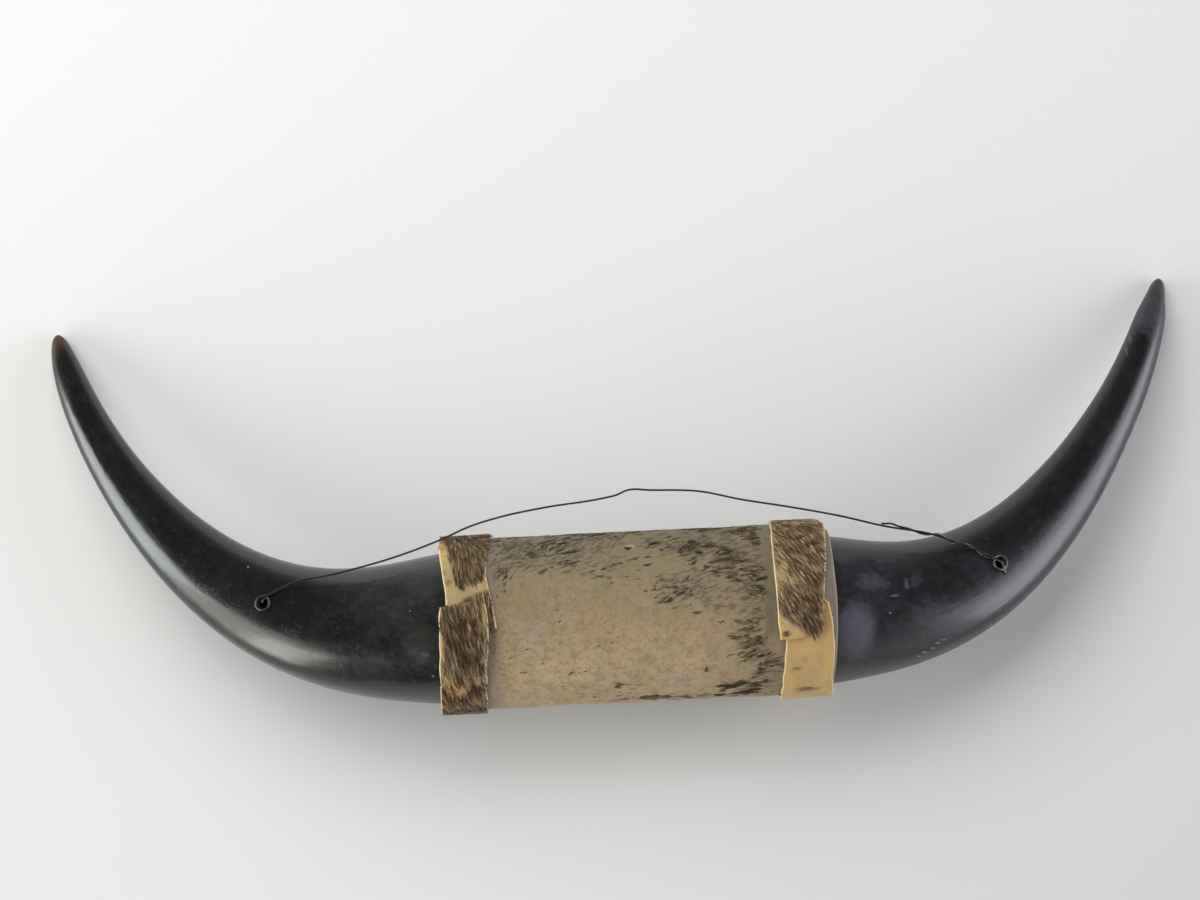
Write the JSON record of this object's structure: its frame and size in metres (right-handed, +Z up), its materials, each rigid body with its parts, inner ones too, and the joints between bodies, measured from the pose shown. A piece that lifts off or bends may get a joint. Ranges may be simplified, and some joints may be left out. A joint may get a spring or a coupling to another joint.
{
  "type": "buffalo horn pair",
  "caption": "Wall trophy of polished black buffalo horns joined by a hide-wrapped wooden roll with hide bands and a steel hanging wire.",
  "frame": {"origin": "on the surface the pair lies on, under the middle of its box, which leaves out the wire", "axes": "+X along the roll to the right horn, seen from the back, +Y from the roll towards the horn tips, +Z up out of the back, where the wire is"},
  "size_m": [0.722, 0.2626, 0.1094],
  "materials": {
    "horn": "polished black horn",
    "wood": "plain turned softwood",
    "bald_hide": "dry hide, hair worn off",
    "haired_hide": "dry hide with short brown hair",
    "tack": "rusty",
    "wire": "dull galvanised"
  },
  "bodies": {
    "root": {"left_horn": "horn", "right_horn": "horn", "wood_core": "wood", "hide_wrap": "bald_hide", "left_band": "haired_hide", "right_band": "haired_hide", "right_band_tack": "tack", "wrap_tack": "tack", "hanging_wire": "wire", "left_wire_ring": "wire", "right_wire_ring": "wire"}
  },
  "joints": []
}
